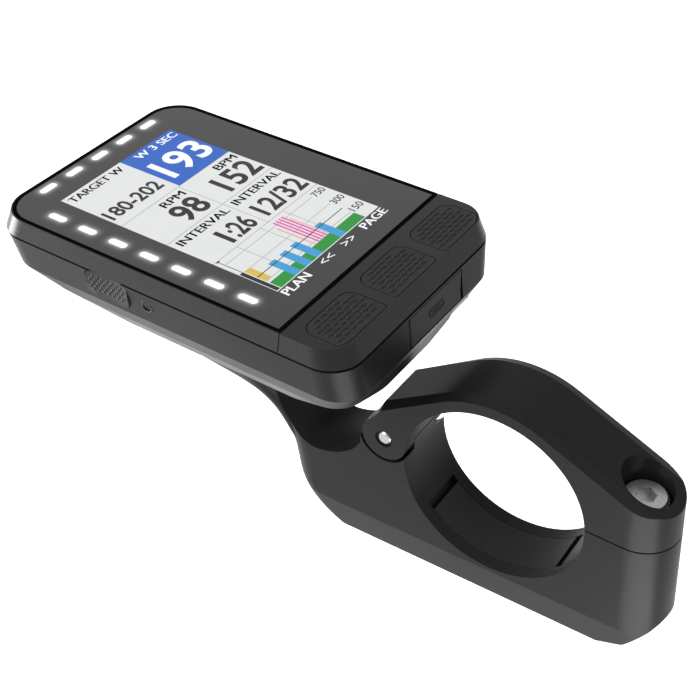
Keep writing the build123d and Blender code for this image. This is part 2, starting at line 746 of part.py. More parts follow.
def socket_screws():
    """Two countersunk screws that hold the socket ring in the arm."""
    parts = []
    for side in (-1, 1):
        x = side * SOCKET_SCREW_X
        shank = rod_z(x, TURN_Y, POCKET_Z - 3.6, SOCKET_FLOOR_Z - 0.3, 1.2)
        head = countersink(x, TURN_Y, SOCKET_FLOOR_Z - 0.05, 1.2, 2.3)
        recess = Pos(x, TURN_Y, SOCKET_FLOOR_Z) * extrude(RegularPolygon(0.85, 6), -0.9, dir=(0, 0, 1))
        parts.append(shank + head - recess)
    return parts


# ---------------------------------------------------------------- mount arm
FLANK_Z = BASE_Z + 6.2
FLANK_INSET = 1.2
FLANK_TILT = 2.2
REAR_LEAN = 0.08
REAR_EDGE_Z = BASE_Z + 10.6
SADDLE_REAR_Y = PIN_Y + 4.5
ARM_JOIN_Y = PIN_Y + 8.0
PAD_HALF = 4.0
PAD_GAP_ANGLE = 5.5
PAD_START = -40.0
PAD_END = -140.0
PAD_DEPTH = 1.3
EAR_WIDTH = 3.1
EAR_R = 4.1
TONGUE_R = 3.8


def clamp_rear(z):
    """Rear wall of the clamp at a height: it leans out towards the bottom."""
    return CLAMP_REAR_Y + 0.4 + (z - SPLIT_Z) * REAR_LEAN


def clamp_plan(z, front):
    """Clamp outline at a height: straight sides and a round rear end."""
    centre = clamp_rear(z) + HALF_CLAMP
    plan = Pos(0, (centre + front) / 2, 0) * Rectangle(CLAMP_WIDTH, front - centre)
    plan += Pos(0, centre, 0) * Circle(HALF_CLAMP)
    return (Pos(0, 0, z) * plan).face()


def lower_block():
    """Lower half of the clamp: rounded rear, drafted flanks, flat bottom."""
    high = PIN_Z + EAR_R
    front = ARM_JOIN_Y + 2 * FLANK_INSET
    upper = loft([clamp_plan(BASE_Z - 1, front), clamp_plan(high, front)], ruled=True)
    rise = (ARM_JOIN_Y - CLAMP_REAR_Y) * math.tan(math.radians(FLANK_TILT))
    upper &= profile_x([(CLAMP_REAR_Y - 5, high), (CLAMP_REAR_Y - 5, FLANK_Z + rise),
                        (CLAMP_REAR_Y, FLANK_Z + rise), (ARM_JOIN_Y, FLANK_Z), (front, FLANK_Z),
                        (front, high)], HALF_CLAMP + 1)
    angle = math.degrees(math.atan(FLANK_INSET / (FLANK_Z - BASE_Z)))
    plan = Pos(0, 0, -rise) * clamp_plan(FLANK_Z + rise, front)
    lower = extrude(plan, FLANK_Z - BASE_Z, dir=(0, 0, -1), taper=angle)
    lower = Pos(0, ARM_JOIN_Y, FLANK_Z) * Rot(-FLANK_TILT, 0, 0) * Pos(0, -ARM_JOIN_Y, -FLANK_Z) * lower
    rear = clamp_rear(REAR_EDGE_Z)
    side = [(rear - 3, high), (rear - 3, REAR_EDGE_Z), (rear, REAR_EDGE_Z),
            (BOLT_Y - 2.6, BASE_Z + 4.2), (BOLT_Y + 1.6, BASE_Z + 2.0), (BOLT_Y + 5.0, BASE_Z - 1),
            (ARM_JOIN_Y, BASE_Z - 1), (ARM_JOIN_Y, high)]
    return (upper + lower) & profile_x(side, HALF_CLAMP + 1)


def arm_section(z, half, front, depth):
    """One level of the arm's front: straight sides closed by a half ellipse."""
    start = front - depth
    straight = Pos(0, (ARM_JOIN_Y + start) / 2, 0) * Rectangle(2 * half, start - ARM_JOIN_Y)
    nose = Pos(0, start, 0) * Ellipse(half, depth)
    nose &= Pos(0, start + depth, 0) * Rectangle(3 * half, 2 * depth)
    return (Pos(0, 0, z) * (straight + nose)).face()


def arm_front():
    """The arm from the clamp block forward, rising into the neck."""
    y = NECK_Y
    low = [arm_section(BASE_Z, HALF_CLAMP - FLANK_INSET, y - 8.5, 4.2),
           arm_section(BASE_Z + 3.4, HALF_CLAMP - FLANK_INSET * 0.45, y - 4.4, 4.6),
           arm_section(FLANK_Z, HALF_CLAMP, y - 2.5, 5.2)]
    high = [arm_section(FLANK_Z, HALF_CLAMP, y - 2.5, 5.2),
            arm_section(-13.0, HALF_CLAMP, y - 1.0, 5.4),
            arm_section(-9.0, HALF_CLAMP, y - 0.1, 5.6),
            arm_section(-5.0, HALF_CLAMP, y + 1.6, 6.0),
            arm_section(-1.0, HALF_CLAMP - 0.2, y + 3.4, 5.6)]
    return loft(low) + loft(high)


def neck():
    """Trumpet-shaped neck between the arm and the round platform."""
    y = NECK_Y
    edge = TURN_Y - NECK_Y
    levels = [(-9.0, 5.4, -6.2, -1.4), (-5.0, 6.0, -5.0, 1.3), (-1.5, 6.5, -3.6, 4.2),
              (2.0, 7.8, -1.6, 8.1), (5.0, 9.7, -1.2, 13.2), (8.0, 11.9, -1.9, 19.0),
              (PLATFORM_Z - 0.6, PLATFORM_RADIUS, edge - PLATFORM_RADIUS, edge + PLATFORM_RADIUS)]
    sections = []
    for z, half, rear, front in levels:
        middle = y + (rear + front) / 2
        face = Pos(0, middle, z) * Ellipse(half, (front - rear) / 2)
        sections.append(face)
    horn = loft(sections)
    rim = rod_z(0, TURN_Y, PLATFORM_Z - 0.6, PLATFORM_Z, PLATFORM_RADIUS)
    return horn + rim


def saddle_cut():
    """Space above the arm, between the clamp and the neck."""
    y = NECK_Y
    curve = Spline((0, SADDLE_REAR_Y, -1.2), (0, PIN_Y + 7.4, -4.8), (0, PIN_Y + 10.8, -6.6),
                   (0, y - 6.8, -7.2), (0, y - 3.6, -5.6), (0, y - 1.2, -2.4), (0, y + 0.6, 3.0),
                   (0, y + 1.6, 7.4), (0, y + 1.9, PLATFORM_Z - 0.6))
    rest = Polyline((0, y + 1.9, PLATFORM_Z - 0.6), (0, y - 30, PLATFORM_Z - 0.6),
                    (0, y - 30, 40), (0, -60, 40), (0, -60, 8), (0, SADDLE_REAR_Y, 8),
                    (0, SADDLE_REAR_Y, -1.2))
    return extrude(make_face([curve, rest]), 40, dir=(1, 0, 0), both=True)


def bore(radius):
    return rod_x(0, 0, -HALF_CLAMP - 2, HALF_CLAMP + 2, radius)


def ring_sector(inner, outer, start, end, half_width):
    """Part of a ring round the bar between two angles."""
    ring = rod_x(0, 0, -half_width, half_width, outer)
    ring -= rod_x(0, 0, -half_width - 1, half_width + 1, inner)
    reach = outer * 3
    middle = (start + end) / 2
    points = [(0.0, 0.0)]
    for angle in (start, (start + middle) / 2, middle, (middle + end) / 2, end):
        rad = math.radians(angle)
        points.append((reach * math.cos(rad), reach * math.sin(rad)))
    return ring & profile_x(points, half_width + 1)


def mount_arm():
    """Lower clamp half, arm, neck and platform in one moulding."""
    top = SPLIT_Z - SPLIT_GAP / 2
    body = lower_block() + arm_front()
    body -= saddle_cut()
    body -= block(-20, 20, -60, BAR_R * 0.7, top, 60)
    tongue = rod_x(PIN_Y, PIN_Z, -HALF_CLAMP, HALF_CLAMP, TONGUE_R)
    front_top = block(-20, 20, BAR_R * 0.7, SADDLE_REAR_Y, top, 60)
    body -= front_top - tongue
    body += tongue & block(-HALF_CLAMP, HALF_CLAMP, 0, 60, PIN_Z - 3, 60)
    body += neck() - saddle_cut()
    body -= bore(BAR_R)
    ear_space = rod_x(PIN_Y, PIN_Z, -20, 20, EAR_R + 0.6)
    ear_space -= block(-HALF_CLAMP + EAR_WIDTH, HALF_CLAMP - EAR_WIDTH, 0, 60, -30, 60)
    body -= ear_space
    body -= rod_x(PIN_Y, PIN_Z, -20, 20, PIN_R)
    body -= ring_sector(BAR_R - 3, BAR_R + PAD_DEPTH, PAD_START, PAD_END, PAD_HALF)
    body -= rod_z(0, BOLT_Y, INSERT_TOP - 9.5, 20, INSERT_R)
    body -= rod_z(0, TURN_Y, POCKET_Z, 40, SOCKET_RADIUS + 0.02)
    for side in (-1, 1):
        body -= rod_z(side * SOCKET_SCREW_X, TURN_Y, POCKET_Z - 4.0, 40, 1.2)
    return body


def bar_liner():
    """Rubber pad let into the lower half of the bore."""
    pad = ring_sector(BAR_R + 0.02, BAR_R + PAD_DEPTH, PAD_START - PAD_GAP_ANGLE,
                      PAD_END + PAD_GAP_ANGLE, PAD_HALF - 0.1)
    return pad


# ---------------------------------------------------------------- upper jaw
TOP_SLOPE = 23.4
LAND_DROP = 0.65
LAND_INSET = 1.7
COUNTERBORE_R = 4.2
SEAT_Z = SPLIT_Z + 2.7
EAR_TOP_Y = PIN_Y + 0.8
EAR_TOP_Z = PIN_Z + 6.7


def jaw_profile(shrink):
    """Side outline of the jaw's top, from the ear over the arch to the rear."""
    radius = ARCH_R - shrink
    corner_y = EAR_TOP_Y
    corner_z = EAR_TOP_Z - shrink * 1.6
    reach = math.hypot(corner_y, corner_z)
    tangent = math.atan2(corner_z, corner_y) + math.acos(radius / reach)
    slope = math.radians(TOP_SLOPE)
    leave = math.pi / 2 + slope
    start = (0, radius * math.cos(tangent), radius * math.sin(tangent))
    crown = (0, radius * math.cos((tangent + leave) / 2), radius * math.sin((tangent + leave) / 2))
    end = (0, radius * math.cos(leave), radius * math.sin(leave))
    rear_y = CLAMP_REAR_Y - 2
    rear_z = end[2] - (end[1] - rear_y) * math.tan(slope)
    foot = SPLIT_Z + SPLIT_GAP / 2
    line_1 = Line((0, corner_y, corner_z), start)
    arc = ThreePointArc(start, crown, end)
    line_2 = Polyline(end, (0, rear_y, rear_z), (0, rear_y, foot), (0, PIN_Y + EAR_R, foot),
                      (0, corner_y, corner_z))
    return make_face([line_1, arc, line_2])


def upper_jaw():
    """Hinged upper half of the clamp: ears, arch and bolt boss."""
    land = extrude(jaw_profile(0), HALF_CLAMP - LAND_INSET, dir=(1, 0, 0), both=True)
    full = extrude(jaw_profile(LAND_DROP), HALF_CLAMP, dir=(1, 0, 0), both=True)
    bevels = jaw_bevel(1) + jaw_bevel(-1)
    body = land + full + bevels
    front = PIN_Y + 2 * EAR_R
    body &= loft([clamp_plan(SPLIT_Z, front), clamp_plan(ARCH_R + 1, front)], ruled=True)
    body += rod_x(PIN_Y, PIN_Z, -HALF_CLAMP, HALF_CLAMP, EAR_R)
    body -= bore(BAR_R)
    foot = SPLIT_Z + SPLIT_GAP / 2
    body -= block(-20, 20, -60, PIN_Y - EAR_R - 0.01, -60, foot)
    inner = HALF_CLAMP - EAR_WIDTH + SLIDE
    slot = rod_x(PIN_Y, PIN_Z, -inner, inner, TONGUE_R + 0.35)
    slot += block(-inner, inner, 0, 60, -60, PIN_Z)
    body -= slot
    body -= rod_x(PIN_Y, PIN_Z, -20, 20, PIN_R + RUN)
    for side in (-1, 1):
        body -= rod_x(PIN_Y, PIN_Z, min(side * (HALF_CLAMP - 0.3), side * 20),
                      max(side * (HALF_CLAMP - 0.3), side * 20), PIN_R + 0.4)
    body -= rod_z(0, BOLT_Y, SEAT_Z, 60, COUNTERBORE_R)
    body -= rod_z(0, BOLT_Y, -60, 60, BOLT_R + SLIDE)
    return body


def jaw_bevel(side):
    """Sloping edge between the jaw's top land and its side."""
    inner = Pos(side * (HALF_CLAMP - LAND_INSET), 0, 0) * jaw_profile(0)
    outer = Pos(side * HALF_CLAMP, 0, 0) * jaw_profile(LAND_DROP)
    return loft([inner, outer], ruled=True)


# ---------------------------------------------------------------- clamp hardware
def hinge_pin():
    pin = rod_x(PIN_Y, PIN_Z, -HALF_CLAMP + 0.15, HALF_CLAMP - 0.15, PIN_R - 0.01)
    ends = pin.edges().filter_by(GeomType.CIRCLE)
    return chamfer(ends, 0.2)


HEAD_BASE_Z = SEAT_Z + WASHER_THICKNESS


def clamp_bolt():
    """Socket-head bolt that closes the clamp."""
    head = rod_z(0, BOLT_Y, HEAD_BASE_Z, HEAD_BASE_Z + BOLT_HEAD_HEIGHT, HEAD_R)
    head = chamfer(head.edges().group_by(Axis.Z)[-1], 0.35)
    hexagon = RegularPolygon(BOLT_HEX / 2, 6, major_radius=False)
    head -= extrude(Pos(0, BOLT_Y, HEAD_BASE_Z + BOLT_HEAD_HEIGHT) * hexagon, -1.7, dir=(0, 0, 1))
    shank = rod_z(0, BOLT_Y, HEAD_BASE_Z - BOLT_LENGTH, HEAD_BASE_Z + 0.2, BOLT_R)
    shank = chamfer(shank.edges().group_by(Axis.Z)[0], 0.4)
    return head + shank


def bolt_washer():
    z = SEAT_Z
    disc = rod_z(0, BOLT_Y, z, z + WASHER_THICKNESS, COUNTERBORE_R - 0.5)
    return disc - rod_z(0, BOLT_Y, z - 1, z + 2, BOLT_R + SLIDE)


INSERT_R = 3.1
INSERT_TOP = SPLIT_Z - SPLIT_GAP / 2 - 1.4


def threaded_insert():
    """Brass nut moulded into the lower half of the clamp."""
    nut = rod_z(0, BOLT_Y, INSERT_TOP - 7.0, INSERT_TOP, INSERT_R - 0.02)
    nut -= rod_z(0, BOLT_Y, INSERT_TOP - 8, INSERT_TOP + 1, BOLT_R + THREAD_CLEARANCE)
    return nut


# ---------------------------------------------------------------- writing out
def parts():
    return {
        "glass_lens": glass_lens(),
        "light_guides": light_guides(),
        "front_bezel": front_bezel(),
        "button_bezel": button_bezel(),
        "key_left": front_key(0),
        "key_centre": front_key(1),
        "key_right": front_key(2),
        "mid_housing": mid_housing(),
        "power_button": side_button(-1, POWER_Y),
        "up_button": side_button(1, UP_Y),
        "down_button": side_button(1, DOWN_Y),
        "usb_cover": usb_cover(),
        "back_cover": back_cover(),
        "housing_seal": housing_seal(),
        "lanyard_bar": lanyard_bar(),
        "case_screws": case_screws(),
        "display_gasket": display_gasket(),
        "display_panel": display_panel(),
        "display_tray": display_tray(),
        "led_board": led_board(),
        "led_chips": led_chips(),
        "main_board": main_board(),
        "board_posts": board_posts(),
        "key_switches": key_switches(),
        "side_switches": side_switches(),
        "usb_socket": usb_socket(),
        "shield_can": shield_can(),
        "processor": processor(),
        "satellite_antenna": satellite_antenna(),
        "buzzer": buzzer(),
        "battery": battery(),
        "twist_boss": twist_boss(),
        "boss_screws": boss_screws(),
        "mount_arm": mount_arm(),
        "socket_ring": socket_ring(),
        "socket_screws": socket_screws(),
        "threaded_insert": threaded_insert(),
        "bar_liner": bar_liner(),
        "hinge_pin": hinge_pin(),
        "upper_jaw": upper_jaw(),
        "bolt_washer": bolt_washer(),
        "clamp_bolt": clamp_bolt(),
    }


os.makedirs("parts", exist_ok=True)
for name, shape in parts().items():
    if isinstance(shape, list):
        shape = Compound(children=shape)
    export_step(shape, os.path.join("parts", name + ".step"))
    print(name, len(shape.solids()), round(shape.volume, 2))
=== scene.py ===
import json
import math
import bpy
import bmesh
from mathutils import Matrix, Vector

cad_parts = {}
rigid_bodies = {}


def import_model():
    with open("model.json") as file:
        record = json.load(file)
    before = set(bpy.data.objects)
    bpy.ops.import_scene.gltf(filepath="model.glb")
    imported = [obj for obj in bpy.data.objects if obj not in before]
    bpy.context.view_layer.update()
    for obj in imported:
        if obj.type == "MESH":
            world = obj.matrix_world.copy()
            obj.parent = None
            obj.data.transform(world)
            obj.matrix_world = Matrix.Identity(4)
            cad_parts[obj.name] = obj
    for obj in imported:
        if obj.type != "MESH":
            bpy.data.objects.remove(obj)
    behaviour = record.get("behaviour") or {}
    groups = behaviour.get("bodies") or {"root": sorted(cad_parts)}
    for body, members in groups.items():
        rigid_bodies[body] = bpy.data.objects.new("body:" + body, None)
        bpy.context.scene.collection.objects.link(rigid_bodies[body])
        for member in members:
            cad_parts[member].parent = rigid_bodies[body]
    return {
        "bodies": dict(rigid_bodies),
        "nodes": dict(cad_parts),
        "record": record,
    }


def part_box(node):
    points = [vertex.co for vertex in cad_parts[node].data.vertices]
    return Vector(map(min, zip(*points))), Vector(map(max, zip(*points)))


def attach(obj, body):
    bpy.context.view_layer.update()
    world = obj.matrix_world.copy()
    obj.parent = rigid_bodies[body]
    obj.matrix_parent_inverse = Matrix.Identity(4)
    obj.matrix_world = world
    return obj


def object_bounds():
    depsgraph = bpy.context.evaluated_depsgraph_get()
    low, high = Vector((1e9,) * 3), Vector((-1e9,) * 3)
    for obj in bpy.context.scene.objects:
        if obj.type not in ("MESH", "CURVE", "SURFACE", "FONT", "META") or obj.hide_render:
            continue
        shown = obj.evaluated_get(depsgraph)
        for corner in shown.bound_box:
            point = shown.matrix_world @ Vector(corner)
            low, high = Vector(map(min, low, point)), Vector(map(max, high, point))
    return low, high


# %% [markdown]
# # A cycling computer on its out-front mount
# The frame comes first. It holds every hard part at its real size and place, so this lesson only adds
# what the eye wants: the screen's graphics, the grip patterns, the small icons, and every finish.
# Lengths are in metres, and MM lets a size be written in millimetres.

# %% Load the frame and keep its box
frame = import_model()
nodes = frame["nodes"]
cad_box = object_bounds()
MM = 0.001
print("nodes", len(nodes), "box", [round(v / MM, 1) for corner in cad_box for v in corner])

# %% [markdown]
# ## Camera
# A product shot of something this small is taken from about arm's length with a short telephoto lens.
# The camera is placed by its heading, its height above the horizon and its distance from a point in the
# middle of the object. Worked out that way, each of the three can be turned on its own.

# %% Camera
HEADING = math.radians(-56.06)
HEIGHT = math.radians(39.63)
AWAY = 213.4 * MM
AIM = Vector((-0.74, 30.11, 12.02)) * MM
LENS = 67.7

towards_camera = Vector((
    math.sin(HEADING) * math.cos(HEIGHT),
    -math.cos(HEADING) * math.cos(HEIGHT),
    math.sin(HEIGHT)))
bpy.ops.object.camera_add(
    location=AIM + towards_camera * AWAY,
    rotation=(-towards_camera).to_track_quat("-Z", "Y").to_euler())
camera = bpy.context.object
camera.name = "studio_camera"
camera.data.lens = LENS
camera.data.sensor_width = 36
camera.data.clip_start = 0.01
bpy.context.scene.camera = camera
print("camera at", [round(v / MM) for v in camera.location], "mm")

# %% [markdown]
# ## Floor, world and lamps
# Black plastic has little colour of its own, so it is drawn by what it mirrors. A white room gives every
# face a thin veil of light, and a few large soft lamps lay the brighter bands on the bevels. The world
# and the floor are white to the camera and in reflections. What lights the object is kept lower.


# %% Nodes are easier to place with one helper
def add_node(tree, kind, **values):
    """A node whose inputs are set by name, from a value or from another node's socket."""
    node = tree.nodes.new(kind)
    for key, value in values.items():
        if hasattr(node, key):
            setattr(node, key, value)
            continue
        socket = node.inputs[key.replace("_", " ")]
        if isinstance(value, bpy.types.NodeSocket):
            tree.links.new(value, socket)
        else:
            socket.default_value = value
    return node


def calculate(tree, operation, first, second=0.0, third=0.0):
    """One sum on numbers or sockets; gives its result socket."""
    node = tree.nodes.new("ShaderNodeMath")
    node.operation = operation
    for socket, value in zip(node.inputs, (first, second, third)):
        if isinstance(value, bpy.types.NodeSocket):
            tree.links.new(value, socket)
        else:
            socket.default_value = value
    return node.outputs[0]


# %% World: white where it is seen or mirrored, softer where it lights
ROOM_LIGHT = 0.55

world = bpy.data.worlds.new("white_room")
bpy.context.scene.world = world
world.use_nodes = True
tree = world.node_tree
tree.nodes.clear()
path = tree.nodes.new("ShaderNodeLightPath")
seen = calculate(tree, "MAXIMUM", path.outputs["Is Camera Ray"], path.outputs["Is Glossy Ray"])
seen = calculate(tree, "MAXIMUM", seen, path.outputs["Is Transmission Ray"])
strength = calculate(tree, "MULTIPLY_ADD", seen, 1 - ROOM_LIGHT, ROOM_LIGHT)
room = add_node(tree, "ShaderNodeBackground", Color=(1, 1, 1, 1), Strength=strength)
out = tree.nodes.new("ShaderNodeOutputWorld")
tree.links.new(room.outputs[0], out.inputs["Surface"])
print("world light", ROOM_LIGHT)

# %% Floor: a pale sheet well below the clamp
FLOOR_DROP = 60 * MM
FLOOR_SIZE = 6.0
FLOOR_GLOW = 0.42

bpy.ops.object.select_all(action="DESELECT")
bpy.ops.mesh.primitive_plane_add(size=FLOOR_SIZE, location=(0, 0, cad_box[0].z - FLOOR_DROP))
floor = bpy.context.object
floor.name = "floor"
pale = bpy.data.materials.new("pale_floor")
pale.use_nodes = True
tree = pale.node_tree
shader = tree.nodes["Principled BSDF"]
shader.inputs["Base Color"].default_value = (0.82, 0.82, 0.82, 1)
shader.inputs["Roughness"].default_value = 0.9
path = tree.nodes.new("ShaderNodeLightPath")
seen = calculate(tree, "MAXIMUM", path.outputs["Is Camera Ray"], path.outputs["Is Glossy Ray"])
glow = calculate(tree, "MULTIPLY", seen, FLOOR_GLOW)
shader.inputs["Emission Color"].default_value = (1, 1, 1, 1)
tree.links.new(glow, shader.inputs["Emission Strength"])
floor.data.materials.append(pale)
print("floor at", round(floor.location.z / MM, 1), "mm")


# %% Lamps: large, close and soft
def softbox(name, place, aim, size, power):
    """A square lamp at a place, turned towards a point. Both are in millimetres."""
    place = Vector(place) * MM
    turn = (Vector(aim) * MM - place).to_track_quat("-Z", "Y").to_euler()
    bpy.ops.object.light_add(type="AREA", location=place, rotation=turn)
    lamp = bpy.context.object
    lamp.name = name
    lamp.data.size = size * MM
    lamp.data.energy = power
    lamp.visible_camera = False
    return lamp


MIDDLE = (0, 30, 5)
softbox("key_lamp", (-330, 250, 330), MIDDLE, 240, 5.0)
softbox("rear_lamp", (-150, -420, 330), MIDDLE, 160, 2.2)
softbox("low_lamp", (-45, -50, -78), (-5, -15, -20), 90, 0.28)
softbox("front_lamp", (-110, 330, -40), (-5, 35, -12), 130, 0.7)

# %% [markdown]
# ## Finishes
# Almost everything here is moulded black plastic, so the finishes differ in small ways: how coarse the
# spark-eroded grain of the mould is, how soft the gloss, and how dark the black. One helper builds a
# grained finish. A fine noise on Object coordinates drives colour, roughness and bump together, so each
# pit in the surface is duller as well as deeper, and its colour darker: painted shade in the pits on top
# of the grain's own random tone.


# %% A grained finish
def grained(name, dark, light, roughness, grain=0.25, depth=0.01, metallic=0.0, specular=0.5, coat=0.0):
    """A moulded, cast or ground finish. grain is the size of a pit and depth its depth, in millimetres."""
    material = bpy.data.materials.new(name)
    material.use_nodes = True
    tree = material.node_tree
    shader = tree.nodes["Principled BSDF"]
    place = tree.nodes.new("ShaderNodeTexCoord").outputs["Object"]
    fine = add_node(tree, "ShaderNodeTexNoise", Vector=place, Scale=1 / (grain * MM),
                    Detail=3.0, Roughness=0.6)
    broad = add_node(tree, "ShaderNodeTexNoise", Vector=place, Scale=1 / (14 * MM), Detail=2.0)
    # The ramp's dark end falls where the noise, and so the bump, is lowest: painted shade in the pits, over
    # the grain's own random tone.
    colour = add_node(tree, "ShaderNodeValToRGB", Fac=fine.outputs["Fac"])
    colour.color_ramp.elements[0].position = 0.3
    colour.color_ramp.elements[0].color = (*dark, 1)
    colour.color_ramp.elements[1].position = 0.7
    colour.color_ramp.elements[1].color = (*light, 1)
    tree.links.new(colour.outputs["Color"], shader.inputs["Base Color"])
    mixed = calculate(tree, "MULTIPLY_ADD", fine.outputs["Fac"], 0.5, calculate(
        tree, "MULTIPLY", broad.outputs["Fac"], 0.5))
    dull = add_node(tree, "ShaderNodeMapRange", Value=mixed)
    dull.inputs["From Min"].default_value = 0.3
    dull.inputs["From Max"].default_value = 0.7
    dull.inputs["To Min"].default_value = max(roughness - 0.07, 0.02)
    dull.inputs["To Max"].default_value = roughness + 0.07
    tree.links.new(dull.outputs["Result"], shader.inputs["Roughness"])
    bump = add_node(tree, "ShaderNodeBump", Height=fine.outputs["Fac"], Strength=1.0, Distance=depth * MM)
    tree.links.new(bump.outputs["Normal"], shader.inputs["Normal"])
    shader.inputs["Metallic"].default_value = metallic
    shader.inputs["Specular IOR Level"].default_value = specular
    shader.inputs["Coat Weight"].default_value = coat
    shader.inputs["Coat Roughness"].default_value = 0.25
    return material


finish = {}
finish["mount_nylon"] = grained("mount_nylon", [0.0035] * 3, [0.008] * 3, 0.40, 0.16, 0.009, specular=0.07)
finish["matte_case"] = grained("matte_case", [0.003] * 3, [0.006] * 3, 0.40, 0.2, 0.006, specular=0.08)
finish["satin_case"] = grained("satin_case", [0.004] * 3, [0.007] * 3, 0.26, 0.2, 0.002, specular=0.20)
finish["key_rubber"] = grained("key_rubber", [0.008] * 3, [0.014] * 3, 0.42, 0.25, 0.006, specular=0.12)
finish["flap_rubber"] = grained("flap_rubber", [0.005] * 3, [0.010] * 3, 0.58, 0.25, 0.008, specular=0.15)
finish["liner_rubber"] = grained("liner_rubber", [0.004] * 3, [0.008] * 3, 0.50, 0.3, 0.008, specular=0.12)
finish["seal_rubber"] = grained("seal_rubber", [0.05] * 3, [0.07] * 3, 0.7, 0.3, 0.01)
finish["adhesive"] = grained("adhesive", [0.03] * 3, [0.05] * 3, 0.8, 0.4, 0.02)
finish["chip_black"] = grained("chip_black", [0.02] * 3, [0.035] * 3, 0.5, 0.15, 0.006)
finish["ceramic"] = grained("ceramic", [0.62, 0.56, 0.44], [0.72, 0.66, 0.54], 0.35, 0.3, 0.004)
print("moulded finishes", len(finish))

# %% [markdown]
# Metals use the same helper with the metallic socket up. Stamped and turned steel is bright with a fine
# grain, the clamp bolt has a grey coating that scatters more, and the nut is brass.

# %% Metals
METAL = {"metallic": 1.0}
finish["steel"] = grained("steel", [0.22, 0.22, 0.225], [0.28, 0.28, 0.285], 0.30, 0.12, 0.001, **METAL)
finish["black_steel"] = grained("black_steel", [0.05] * 3, [0.08] * 3, 0.38, 0.15, 0.002, **METAL)
finish["bolt_steel"] = grained(
    "bolt_steel", [0.30, 0.29, 0.29], [0.40, 0.39, 0.39], 0.36, 0.2, 0.004, **METAL)
finish["switch_metal"] = grained("switch_metal", [0.6] * 3, [0.72] * 3, 0.3, 0.2, 0.001, **METAL)
finish["tray_metal"] = grained("tray_metal", [0.5] * 3, [0.58] * 3, 0.42, 0.2, 0.003, **METAL)
finish["insert_brass"] = grained(
    "insert_brass", [0.60, 0.45, 0.20], [0.72, 0.56, 0.28], 0.3, 0.2, 0.002, **METAL)
finish["battery_wrap"] = grained("battery_wrap", [0.45] * 3, [0.55] * 3, 0.35, 0.5, 0.01, metallic=0.6)
print("metals", [name for name in finish if "steel" in name or "metal" in name])

# %% [markdown]
# ## Cover glass
# The glass is printed black underneath, so it is a very smooth black with only a trace of handling on it.
# Where the light pills shine, a little of their light spreads through the print around them. That glow is
# painted on as emission of the glass itself, fading with a distance worked out on Object coordinates: how
# far a point is from the nearest pill of its row.

# %% Where the pills are
pill_low, pill_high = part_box("light_guides")
glass_low, glass_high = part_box("glass_lens")
PILL_LENGTH = 3.4 * MM
PILL_WIDTH = 1.3 * MM
SIDE_PILLS = 7
FRONT_PILLS = 5
side_x = pill_low.x + PILL_WIDTH / 2
front_y = pill_high.y - PILL_WIDTH / 2
side_first = pill_low.y + PILL_LENGTH / 2
SIDE_PITCH = 6.34 * MM
FRONT_PITCH = 6.22 * MM
front_first = pill_high.x - PILL_LENGTH / 2 - (FRONT_PILLS - 1) * FRONT_PITCH
print("pills start at", round(side_first / MM, 2), "and", round(front_first / MM, 2))


# %% Black printed glass with the pills' painted glow
def row_distance(tree, along, across, first, pitch, count, line):
    """How far a point is from the nearest pill of a row that runs along one axis."""
    step = calculate(tree, "DIVIDE", calculate(tree, "SUBTRACT", along, first), pitch)
    step = calculate(tree, "ROUND", step)
    step = calculate(tree, "MINIMUM", calculate(tree, "MAXIMUM", step, 0.0), count - 1.0)
    centre = calculate(tree, "MULTIPLY_ADD", step, pitch, first)
    run = calculate(tree, "ABSOLUTE", calculate(tree, "SUBTRACT", along, centre))
    run = calculate(tree, "MAXIMUM", calculate(tree, "SUBTRACT", run, (PILL_LENGTH - PILL_WIDTH) / 2), 0.0)
    side = calculate(tree, "SUBTRACT", across, line)
    run_squared = calculate(tree, "MULTIPLY", run, run)
    side_squared = calculate(tree, "MULTIPLY", side, side)
    total = calculate(tree, "ADD", run_squared, side_squared)
    return calculate(tree, "SQRT", total)


GLOW_REACH = 0.34 * MM
GLOW_LIGHT = 0.42

glass = grained("cover_glass", [0.008] * 3, [0.009] * 3, 0.09, 3.0, 0.0, specular=0.5)
tree = glass.node_tree
shader = tree.nodes["Principled BSDF"]
place = add_node(tree, "ShaderNodeSeparateXYZ", Vector=tree.nodes["Texture Coordinate"].outputs["Object"])
side_row = row_distance(
    tree, place.outputs["Y"], place.outputs["X"], side_first, SIDE_PITCH, SIDE_PILLS, side_x)
front_row = row_distance(
    tree, place.outputs["X"], place.outputs["Y"], front_first, FRONT_PITCH, FRONT_PILLS, front_y)
nearest = calculate(tree, "MINIMUM", side_row, front_row)
nearest = calculate(tree, "SUBTRACT", nearest, PILL_WIDTH / 2)
# Painted glow: the glass emits light near the pills, fading with distance from them.
fade = calculate(tree, "EXPONENT", calculate(tree, "MULTIPLY", nearest, -1 / GLOW_REACH))
tree.links.new(calculate(tree, "MULTIPLY", fade, GLOW_LIGHT), shader.inputs["Emission Strength"])
shader.inputs["Emission Color"].default_value = (0.95, 0.97, 1.0, 1)
finish["cover_glass"] = glass
print("glass", len(tree.nodes), "nodes")

# %% [markdown]
# The pills themselves are milky light pipes that shine a little unevenly. The circuit boards are green
# solder mask with a maze of slightly raised copper under it, made from a Voronoi pattern's cell borders.


